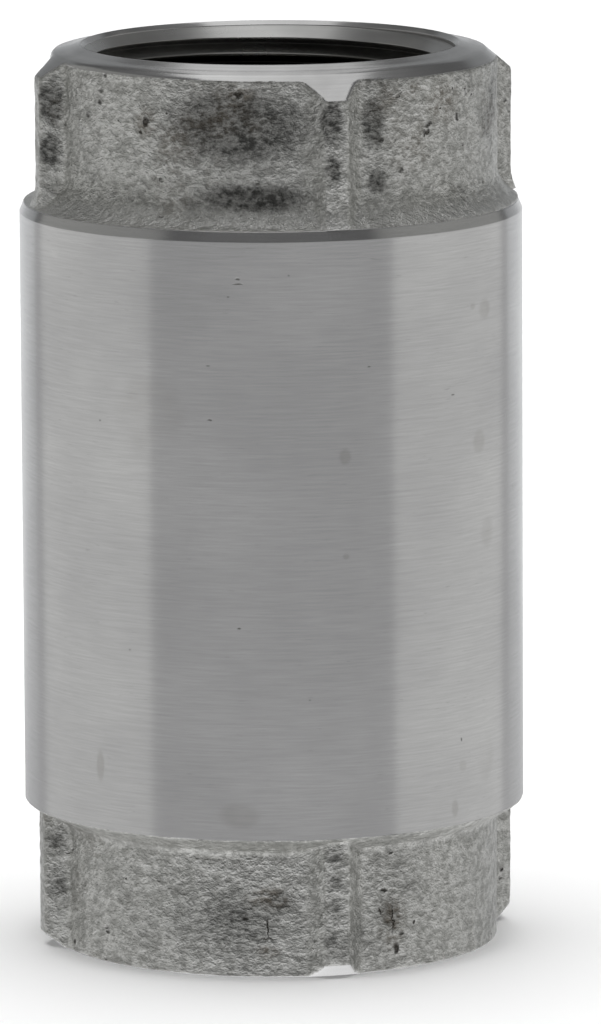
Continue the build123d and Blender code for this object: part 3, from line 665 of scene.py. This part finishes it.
BARREL_PITS = [
    (-7.5, 79.35, 0.66, 0.13),
    (-7.5, 79.9, 0.3, 0.17),
    (-14.4, 70.1, 0.25, 0.1),
    (22.3, 69.7, 0.28, 0.09),
    (-14.1, 64.0, 0.38, 0.13),
    (3.9, 80.3, 0.13, 0.1),
    (-9.7, 77.9, 0.13, 0.1),
    (-7.7, 40.5, 0.26, 0.15),
    (45.2, 65.5, 0.3, 0.09),
    (47.7, 26.0, 0.12, 0.25),
    (-42.4, 63.0, 0.14, 0.1),
    (-34.3, 37.3, 0.12, 0.1),
    (8.1, 32.3, 0.1, 0.1),
]
BARREL_SMUDGES = [
    (16.5, 59.7, 0.9, 1.2),
    (54.5, 59.6, 1.5, 1.7),
    (16.6, 48.4, 0.5, 0.45),
    (-7.8, 19.1, 3.0, 1.9),
    (48.2, 22.9, 0.8, 0.9),
    (45.5, 18.2, 0.7, 1.3),
    (57.0, 23.4, 2.0, 3.6),
    (56.9, 74.5, 1.5, 1.5),
    (52.2, 75.1, 0.6, 0.5),
    (57.7, 49.2, 1.6, 2.5),
    (-43.2, 23.5, 0.8, 2.3),
    (-28.5, 63.6, 5.5, 6.0),
]


def barrel_metal():
    """Satin turned stainless: fine rings left by the tool, faint smears and a few small pits."""
    m, t, shader, at = surface("satin turned barrel", (0.6, 0.6, 0.6), 0.25)
    x, y, z = t.xyz(at)
    rings = t.noise(t.join(t.mul(x, 190), t.mul(y, 190), t.mul(z, 5200)), 1.0, 3.0, 0.65)
    broad = t.noise(t.join(t.mul(x, 20), t.mul(y, 20), t.mul(z, 900)), 1.0, 2.0, 0.5, 2.0)
    stray = t.noise(t.join(t.mul(x, 900), t.mul(y, 900), t.mul(z, 5200)), 1.0, 1.0, 0.5, 8.0)
    smear = t.noise(t.join(t.mul(x, 60), t.mul(y, 60), t.mul(z, 60)), 1.0, 3.0, 0.55, 5.0)
    colour = mixed(t, t.ramp(smear, 0.35, 0.75), (0.60, 0.60, 0.595), (0.52, 0.52, 0.52))
    colour = mixed(t, t.ramp(rings, 0.3, 0.75, 0.0, 0.3), colour, (0.3, 0.3, 0.3))
    smudges = t.mul(marks(t, at, BARREL_R, BARREL_SMUDGES), t.ramp(smear, 0.35, 0.6))
    pits = marks(t, at, BARREL_R, BARREL_PITS)
    colour = mixed(t, t.ramp(stray, 0.68, 0.78, 0.0, 0.3), colour, (0.28, 0.28, 0.27))
    colour = mixed(t, t.mul(smudges, 0.42), colour, (0.34, 0.33, 0.31))
    colour = mixed(t, t.mul(pits, 0.7), colour, (0.12, 0.11, 0.1))
    t.feed(shader.inputs["Base Color"], colour)
    rough = t.add(0.235, t.mul(t.sub(smear, 0.5), 0.12))
    t.feed(shader.inputs["Roughness"], t.add(rough, t.mul(t.sub(broad, 0.5), 0.03)))
    bumped(t, shader, t.sub(t.add(rings, t.mul(broad, 0.15)), t.mul(pits, 14.0)), 0.000007)
    drawn_round(t, shader, 0.9)
    return m


CAST_CRACKS = [
    (-1.6, 5.7, 0.12, 1.5),
    (-1.8, 4.5, 1.1, 0.1),
    (31.8, 6.0, 0.14, 1.9),
    (32.8, 2.6, 0.5, 0.7),
    (29.0, 9.4, 0.6, 0.25),
    (27.9, 7.1, 0.2, 0.5),
    (38.4, 5.2, 0.2, 0.2),
    (-64.9, 1.3, 0.5, 0.4),
    (-41.6, 10.2, 0.16, 0.18),
    (-33.5, 96.8, 0.5, 0.7),
    (-35.1, 95.6, 0.3, 0.3),
    (-42.6, 96.6, 0.16, 0.16),
    (-27.3, 97.9, 0.18, 0.2),
    (52.8, 99.7, 0.18, 0.2),
    (58.4, 99.3, 0.18, 0.2),
    (61.5, 98.5, 0.2, 0.2),
    (54.8, 96.4, 0.3, 0.5),
    (47.9, 97.5, 0.26, 0.2),
    (43.0, 95.1, 0.5, 0.45),
    (-7.8, 100.2, 0.6, 0.35),
]
CAST_STAINS = [
    (-1.3, 9.2, 3.6, 2.0),
    (-1.9, 3.0, 1.9, 1.2),
    (31.8, 5.7, 2.4, 4.8),
    (-33.5, 96.6, 2.3, 2.5),
    (39.0, 100.0, 1.6, 1.3),
    (48.7, 98.3, 4.0, 3.4),
    (-7.8, 100.2, 2.6, 1.5),
]
# painted shadows: dark patches painted on the rib crowns, beside the ribs and across the hubs, where shade
# falls
CAST_SHADOWS = [
    (14.3, 14.2, 1.5, 1.6),
    (14.3, 11.4, 1.2, 1.6),
    (14.3, 8.4, 1.4, 2.0),
    (13.8, 4.4, 1.4, 2.4),
    (14.5, 97.4, 1.7, 4.4),
    (14.8, 92.0, 1.2, 2.6),
    (-70.5, 97.5, 1.7, 4.0),
    (-70.8, 92.0, 1.5, 3.2),
    (-70.5, 12.6, 1.6, 3.0),
    (-70.5, 7.6, 1.6, 3.6),
    (-4.7, 88.6, 9.5, 2.4),
    (-8.6, 96.6, 12.5, 6.6),
    (27.0, 96.8, 2.2, 4.6),
    (28.0, 90.0, 1.8, 2.2),
    (-10.0, 6.4, 9.0, 6.4),
    (1.0, 8.6, 4.0, 2.8),
    (31.0, 6.6, 3.0, 4.2),
]


# heights in metres between which the lower hub's finer skin and lighter painted shade give way to the upper
# hub's
LOWER_SKIN_END, UPPER_SKIN_START = 0.080, 0.086


def cast_metal():
    """Blasted investment casting: grained and lumpy, with painted shadows and patches of painted shade,
    hollows darker and high spots brighter (partly dirt and handling wear, partly painted shade), pits and a
    few brown heat stains."""
    m, t, shader, at = surface("blasted casting", (0.4, 0.4, 0.39), 0.4)
    x, y, z = t.xyz(at)
    drift = t.noise(at, 320, 2.0, 0.5, 3.0, out=1)
    bent = t.vec("ADD", at, t.vec("MULTIPLY", drift, (0.0002, 0.0002, 0.0002)))
    flat = t.vec("MULTIPLY", bent, (1.0, 1.0, 1.35))
    fine = t.noise(at, 4200, 2.0, 0.6)
    grain = t.noise(flat, 1300, 3.0, 0.6, 1.0)
    lumps = t.noise(flat, 560, 4.0, 0.62, 4.0)
    ragged = t.vec("MULTIPLY", t.noise(at, 1500, 3.0, 0.6, 5.0, out=1), (0.0011, 0.0011, 0.0011))
    torn = t.vec("SUBTRACT", t.vec("ADD", bent, ragged), (0.00055, 0.00055, 0.00055))
    patch = t.noise(at, 95, 3.0, 0.55, 2.0)
    stain = t.noise(at, 60, 4.0, 0.62, 7.0)
    # painted shade: the shadow marks and shade patches pick the dark copy of the casting's colour below
    painted_shadows = t.mul(marks(t, torn, HUB_R, CAST_SHADOWS, 0.0), 0.85)
    shade = t.math("MAXIMUM", t.ramp(patch, 0.52, 0.7, 0.0, 0.45), painted_shadows)
    shade = t.add(shade, t.mul(t.sub(lumps, 0.5), 0.6))
    # the painted shade is half as strong on the lower hub
    shade = t.mul(shade, t.ramp(z, LOWER_SKIN_END, UPPER_SKIN_START, 0.5, 1.0))
    shade = t.ramp(shade, -0.05, 0.6, smooth=True)
    heavy = t.add(0.5, t.mul(shade, 0.6))
    heavy = t.mul(heavy, t.ramp(z, LOWER_SKIN_END, UPPER_SKIN_START, 0.5, 0.6))
    scatter = t.node("ShaderNodeTexVoronoi", {"Vector": flat, "Scale": 560.0}, out="Distance")
    pitted = t.ramp(t.noise(at, 240, 2.0, 0.5, 9.0), 0.6, 0.67)
    pits = t.mul(t.ramp(scatter, 0.03, 0.24, 1.0, 0.0), pitted)
    pits = t.math("MAXIMUM", pits, marks(t, torn, HUB_R, CAST_CRACKS))
    relief = t.add(t.mul(grain, 0.5), t.mul(lumps, 0.5))
    # within each copy the high spots are lighter and the hollows darker: partly dirt and handling wear,
    # partly painted shade of the relief
    high = t.ramp(relief, 0.42, 0.58, smooth=True)
    # a lit copy and a painted-shade copy of the casting's colour
    light = mixed(t, high, (0.37, 0.37, 0.352), (0.60, 0.60, 0.578))
    dark = mixed(t, high, (0.075, 0.075, 0.071), (0.27, 0.27, 0.257))
    colour = mixed(t, shade, light, dark)
    # painted light: the foot of the upper hollow fillet is painted paler
    foot = t.mul(t.ramp(z, 0.0856, 0.0874, 0.6, 0.0), t.ramp(z, LOWER_SKIN_END, 0.084))
    colour = mixed(t, foot, colour, (0.8, 0.8, 0.78))
    stains = t.mul(marks(t, bent, HUB_R, CAST_STAINS, 0.1), 0.85)
    brown = t.math("MAXIMUM", t.ramp(stain, 0.56, 0.74), stains)
    brown = t.mul(brown, t.ramp(relief, 0.56, 0.44, 0.1, 0.7))
    colour = mixed(t, brown, colour, (0.13, 0.105, 0.075))
    colour = mixed(t, t.mul(pits, 0.88), colour, (0.035, 0.03, 0.024))
    t.feed(shader.inputs["Base Color"], colour)
    t.feed(shader.inputs["Roughness"], t.ramp(relief, 0.35, 0.65, 0.42, 0.27))
    height = t.add(t.mul(t.sub(grain, 0.5), 0.5), t.mul(t.sub(lumps, 0.5), 1.0))
    height = t.add(t.mul(height, heavy), t.mul(fine, 0.1))
    bumped(t, shader, t.sub(height, t.mul(pits, 0.8)), 0.0015)
    return m


def faced_metal(name, colour, roughness, pitch=2400.0, depth=0.000006, painted_shade_depths=None):
    """Stainless faced on a lathe: rings round the centre line, on flat faces and cones alike. The last
    argument
    gives painted shade inside a bore: how far in from a mouth the metal keeps its own colour, and how far in
    it is painted dark."""
    m, t, shader, at = surface(name, colour, roughness)
    x, y, z = t.xyz(at)
    out = t.math("SQRT", t.add(t.mul(x, x), t.mul(y, y)))
    rings = t.noise(t.join(t.mul(out, pitch), t.mul(z, pitch), t.mul(x, 18)), 1.0, 3.0, 0.6)
    smear = t.noise(at, 90, 3.0, 0.6, 3.0)
    dark = tuple(c * 0.72 for c in colour)
    shade = mixed(t, t.ramp(smear, 0.4, 0.75), colour, dark)
    shade = mixed(t, t.ramp(rings, 0.4, 0.75, 0.0, 0.25), shade, tuple(c * 0.5 for c in colour))
    if painted_shade_depths:
        # painted shade: the metal is painted darker the further it lies in from the nearer mouth
        inward = t.math("MINIMUM", z, t.sub(HEIGHT * MM, z))
        inward = t.add(inward, t.mul(t.sub(smear, 0.5), 0.0012))
        shade = mixed(t, t.ramp(inward, painted_shade_depths[0] * MM, painted_shade_depths[1] * MM), shade, (0.11, 0.108, 0.1))
    t.feed(shader.inputs["Base Color"], shade)
    t.feed(shader.inputs["Roughness"], t.add(roughness, t.mul(t.sub(smear, 0.5), 0.2)))
    bumped(t, shader, rings, depth)
    return m


def spring_metal():
    """Drawn spring wire and stamped rings: lengthwise scratches and a slight straw tint."""
    m, t, shader, at = surface("spring stainless", (0.5, 0.49, 0.47), 0.33)
    x, y, z = t.xyz(at)
    drawn = t.noise(t.join(t.mul(x, 90), t.mul(y, 90), t.mul(z, 2600)), 1.0, 3.0, 0.6)
    patch = t.noise(at, 220, 3.0, 0.6, 4.0)
    colour = mixed(t, t.ramp(patch, 0.35, 0.7), (0.52, 0.51, 0.49), (0.38, 0.36, 0.33))
    t.feed(shader.inputs["Base Color"], mixed(t, t.ramp(drawn, 0.4, 0.8, 0, 0.3), colour, (0.2, 0.2, 0.2)))
    t.feed(shader.inputs["Roughness"], t.ramp(patch, 0.2, 0.8, 0.26, 0.44))
    bumped(t, shader, t.add(drawn, patch), 0.000008)
    return m


def acetal():
    """Machined off-white plastic with faint tool rings and grey handling marks."""
    m, t, shader, at = surface("off-white bush plastic", (0.8, 0.79, 0.74), 0.45, 0.0)
    x, y, z = t.xyz(at)
    out = t.math("SQRT", t.add(t.mul(x, x), t.mul(y, y)))
    rings = t.noise(t.join(t.mul(out, 3200), t.mul(z, 3200), t.mul(x, 20)), 1.0, 2.0, 0.6)
    patch = t.noise(at, 260, 4.0, 0.6, 2.0)
    colour = mixed(t, t.ramp(patch, 0.45, 0.8), (0.80, 0.79, 0.74), (0.62, 0.60, 0.54))
    t.feed(shader.inputs["Base Color"], colour)
    t.feed(shader.inputs["Roughness"], t.ramp(patch, 0.2, 0.8, 0.36, 0.55))
    shader.inputs["Subsurface Weight"].default_value = 0.05
    bumped(t, shader, rings, 0.00001)
    return m


def nitrile():
    """Moulded black rubber with a faint bloom."""
    m, t, shader, at = surface("black seal rubber", (0.03, 0.03, 0.03), 0.6, 0.0)
    grain = t.noise(at, 2200, 3.0, 0.6)
    bloom = t.noise(at, 190, 3.0, 0.6, 3.0)
    colour = mixed(t, t.ramp(bloom, 0.4, 0.8), (0.022, 0.022, 0.023), (0.06, 0.06, 0.058))
    t.feed(shader.inputs["Base Color"], colour)
    t.feed(shader.inputs["Roughness"], t.ramp(bloom, 0.2, 0.8, 0.5, 0.75))
    bumped(t, shader, grain, 0.00001)
    return m


# ---------------------------------------------------------------------------------------------------
# Spring
# ---------------------------------------------------------------------------------------------------


def spring_tree(sizes):
    """Winds round wire into a coil spring with closed ends, and grinds both ends flat."""
    t = geometry_tree("coil spring", sizes)
    g = t.given
    steps = t.node("FunctionNodeIntegerMath", {0: g["Coils"], 1: g["Steps Per Coil"]}, operation="MULTIPLY")
    points = t.node("FunctionNodeIntegerMath", {0: steps, 1: 1}, operation="ADD")
    line = t.node("GeometryNodeMeshLine", {"Count": points, "Offset": (0.0, 0.0, 0.001)})
    coil = t.div(t.node("GeometryNodeInputIndex"), g["Steps Per Coil"])
    turn = t.mul(coil, 2 * pi)
    mean = g["Mean Radius"]
    # the closed part at each end rises by little more than the wire's thickness
    wire = g["Wire Radius"]
    low = t.add(g["Foot Z"], t.mul(wire, 0.5))
    high = t.sub(g["Head Z"], t.mul(wire, 0.5))
    close = t.mul(wire, 2.12)
    from_foot = t.add(low, t.mul(coil, close))
    from_head = t.sub(high, t.mul(t.sub(g["Coils"], coil), close))
    ends = t.add(t.mul(close, 2.5), t.mul(wire, 1.0))
    pace = t.div(t.sub(t.sub(g["Head Z"], g["Foot Z"]), ends), t.sub(g["Coils"], 2.5))
    middle = t.add(t.mul(t.add(low, high), 0.5), t.mul(t.sub(coil, t.mul(g["Coils"], 0.5)), pace))
    height = t.math("SMOOTH_MAX", middle, from_foot, 0.0008)
    height = t.math("SMOOTH_MIN", height, from_head, 0.0008)
    round_x = t.mul(t.math("COSINE", turn), mean)
    round_y = t.mul(t.math("SINE", turn), mean)
    line = place(t, line, t.join(round_x, round_y, height))
    path = t.node("GeometryNodeMeshToCurve", {"Mesh": line})
    ring = t.node("GeometryNodeCurvePrimitiveCircle", {"Resolution": 16, "Radius": wire})
    coil = t.node("GeometryNodeCurveToMesh", {"Curve": path, "Profile Curve": ring, "Fill Caps": True})
    x, y, z = t.xyz(t.node("GeometryNodeInputPosition"))
    z = t.math("MINIMUM", t.math("MAXIMUM", z, g["Foot Z"]), g["Head Z"])
    coil = place(t, coil, t.join(x, y, z))
    coil = t.node("GeometryNodeSetShadeSmooth", {"Geometry": coil})
    close_tree(t, coil, g["Metal"])
    return t.tree


def make_spring(material):
    """The return spring, with finer coils than the CAD one."""
    sizes = {
        "Coils": 8,
        "Steps Per Coil": 64,
        "Mean Radius": 9.0 * MM,
        "Wire Radius": 0.5 * MM,
        "Foot Z": SPRING_LOW * MM,
        "Head Z": SPRING_HIGH * MM,
        "Metal": material,
    }
    return grown("coiled_spring", bpy.data.meshes.new("seed"), spring_tree(sizes), sizes)


# ---------------------------------------------------------------------------------------------------
# Build
# ---------------------------------------------------------------------------------------------------

materials = {
    "barrel": barrel_metal(),
    "cast": cast_metal(),
    "faced": faced_metal("faced rim", (0.6, 0.6, 0.595), 0.2),
    "bored": faced_metal("bored wall", (0.46, 0.455, 0.45), 0.4, painted_shade_depths=(1.2, 3.4)),
    "thread": faced_metal("cut thread", (0.5, 0.5, 0.49), 0.3, 1500.0, 0.00001, painted_shade_depths=(2.2, 4.0)),
    "turned": faced_metal("turned insert", (0.56, 0.56, 0.55), 0.3),
    "spring": spring_metal(),
    "acetal": acetal(),
    "nitrile": nitrile(),
}

body = make_body(materials)
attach(body, HOUSING)
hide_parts("valve_body")
for thread in make_threads(materials):
    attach(thread, HOUSING)

spring = make_spring(materials["spring"])
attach(spring, HOUSING)
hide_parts("return_spring")
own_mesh(spring)

FINISH_OF = {
    "seat_ring": "turned",
    "guide_spider": "turned",
    "poppet_stem": "turned",
    "poppet_disc": "turned",
    "seal_retainer": "turned",
    "lock_nut": "turned",
    "seat_snap_ring": "spring",
    "guide_snap_ring": "spring",
    "lock_washer": "spring",
    "inlet_guide_bush": "acetal",
    "outlet_guide_bush": "acetal",
    "seal_washer": "nitrile",
    "seat_o_ring": "nitrile",
}
for node, finish in FINISH_OF.items():
    NODES[node].data.materials.clear()
    NODES[node].data.materials.append(materials[finish])

# ---------------------------------------------------------------------------------------------------
# Studio
# ---------------------------------------------------------------------------------------------------


def stage_floor():
    """A wide pale floor. It shows to the camera but not in the metal, whose reflections come from the
    lights and the grey room."""
    half = 8.0
    corners = [(-half, -half, 0), (half, -half, 0), (half, half, 0), (-half, half, 0)]
    mesh = bpy.data.meshes.new("studio_floor")
    mesh.from_pydata(corners, [], [(0, 1, 2, 3)])
    floor = bpy.data.objects.new("studio_floor", mesh)
    mesh.materials.append(surface("pale floor", (0.93, 0.93, 0.93), 0.8, 0.0)[0])
    bpy.context.scene.collection.objects.link(floor)
    floor.visible_glossy = False
    floor.visible_shadow = False


def softbox(name, place_at, aim, wide, tall, brightness, tint=(1.0, 1.0, 1.0)):
    """A rectangular light of the given brightness, aimed at a point."""
    light = bpy.data.lights.new(name, "AREA")
    light.shape = "RECTANGLE"
    light.size = wide
    light.size_y = tall
    light.energy = brightness * pi * wide * tall
    light.color = tint
    lamp = bpy.data.objects.new(name, light)
    lamp.location = place_at
    lamp.rotation_euler = (Vector(aim) - Vector(place_at)).to_track_quat("-Z", "Y").to_euler()
    bpy.context.scene.collection.objects.link(lamp)
    return lamp


# height of the direction, from 0 straight down to 1 straight up, and its grey
ROOM_TONES = [
    (0.001, 1.3),
    (0.13, 1.0),
    (0.27, 0.62),
    (0.42, 0.54),
    (0.50, 0.50),
    (0.53, 0.13),
    (0.8, 0.12),
    (0.999, 0.25),
]


def studio_room():
    """Grey room round the object: pale below, where the table is, and darker above the table's edge."""
    world = bpy.data.worlds.new("studio")
    bpy.context.scene.world = world
    world.use_nodes = True
    t = Tree(world.node_tree)
    _, _, up = t.xyz(t.node("ShaderNodeTexCoord", out="Generated"))
    ramp = t.node("ShaderNodeValToRGB", {0: t.ramp(up, -1.0, 1.0)}, out=None)
    stops = ramp.color_ramp.elements
    for place_at, grey in ROOM_TONES:
        stop = stops.new(place_at)
        stop.color = (grey, grey, grey * 1.01, 1)
    # a new ramp's own two stops
    stops.remove(stops[0])
    stops.remove(stops[-1])
    t.feed(world.node_tree.nodes["Background"].inputs["Color"], ramp.outputs[0])


WARM = (1.0, 1.0, 0.955)
COOL = (0.94, 0.975, 1.0)
MIDDLE = (0.0, 0.0, HEIGHT * MM / 2)

stage_floor()
studio_room()
for side, name in ((-1, "left_box"), (1, "right_box")):
    softbox(name, (side * 1.096, 0.07, 0.25), MIDDLE, 1.74, 1.6, 0.23, WARM)
softbox("back_box", (0.0, 1.5, 0.05), MIDDLE, 2.75, 0.6, 0.27, COOL)
softbox("back_glow", (0.0, 1.9, 0.78), MIDDLE, 3.4, 0.8, 0.17, COOL)
softbox("overhead_box", (0.0, -0.1, 2.4), (0.0, -0.1, 0.0), 1.9, 2.2, 0.74)
softbox("rear_strip", (0.0, 2.3, 2.41), (0.0, 2.3, 0.0), 1.0, 2.6, 0.62)
# lights the floor evenly and is not mirrored in the metal
floor_box = softbox("floor_box", (0.0, 0.2, 2.6), MIDDLE, 3.0, 3.0, 3.0)
floor_box.visible_glossy = False

EYE_PLACE = (0.0, -1.104, 0.2346)
EYE_ROLL = -0.35  # degrees
FRAME_SHIFT = (28.0, -22.5)  # how far the valve stands from the middle of the frame, of FRAME_HIGH
FRAME_HIGH = 1024

camera = bpy.data.cameras.new("camera")
camera.lens = 344.0
camera.sensor_width = 36.0
camera.shift_x = FRAME_SHIFT[0] / FRAME_HIGH
camera.shift_y = FRAME_SHIFT[1] / FRAME_HIGH
camera.clip_end = 50.0
eye = bpy.data.objects.new("camera", camera)
eye.location = EYE_PLACE
aim = Vector(MIDDLE) - eye.location
look = aim.to_track_quat("-Z", "Y").to_matrix().to_4x4()
eye.rotation_euler = (look @ Matrix.Rotation(radians(EYE_ROLL), 4, "Z")).to_euler()
bpy.context.scene.collection.objects.link(eye)
bpy.context.scene.camera = eye
bpy.context.scene.view_settings.view_transform = "Standard"
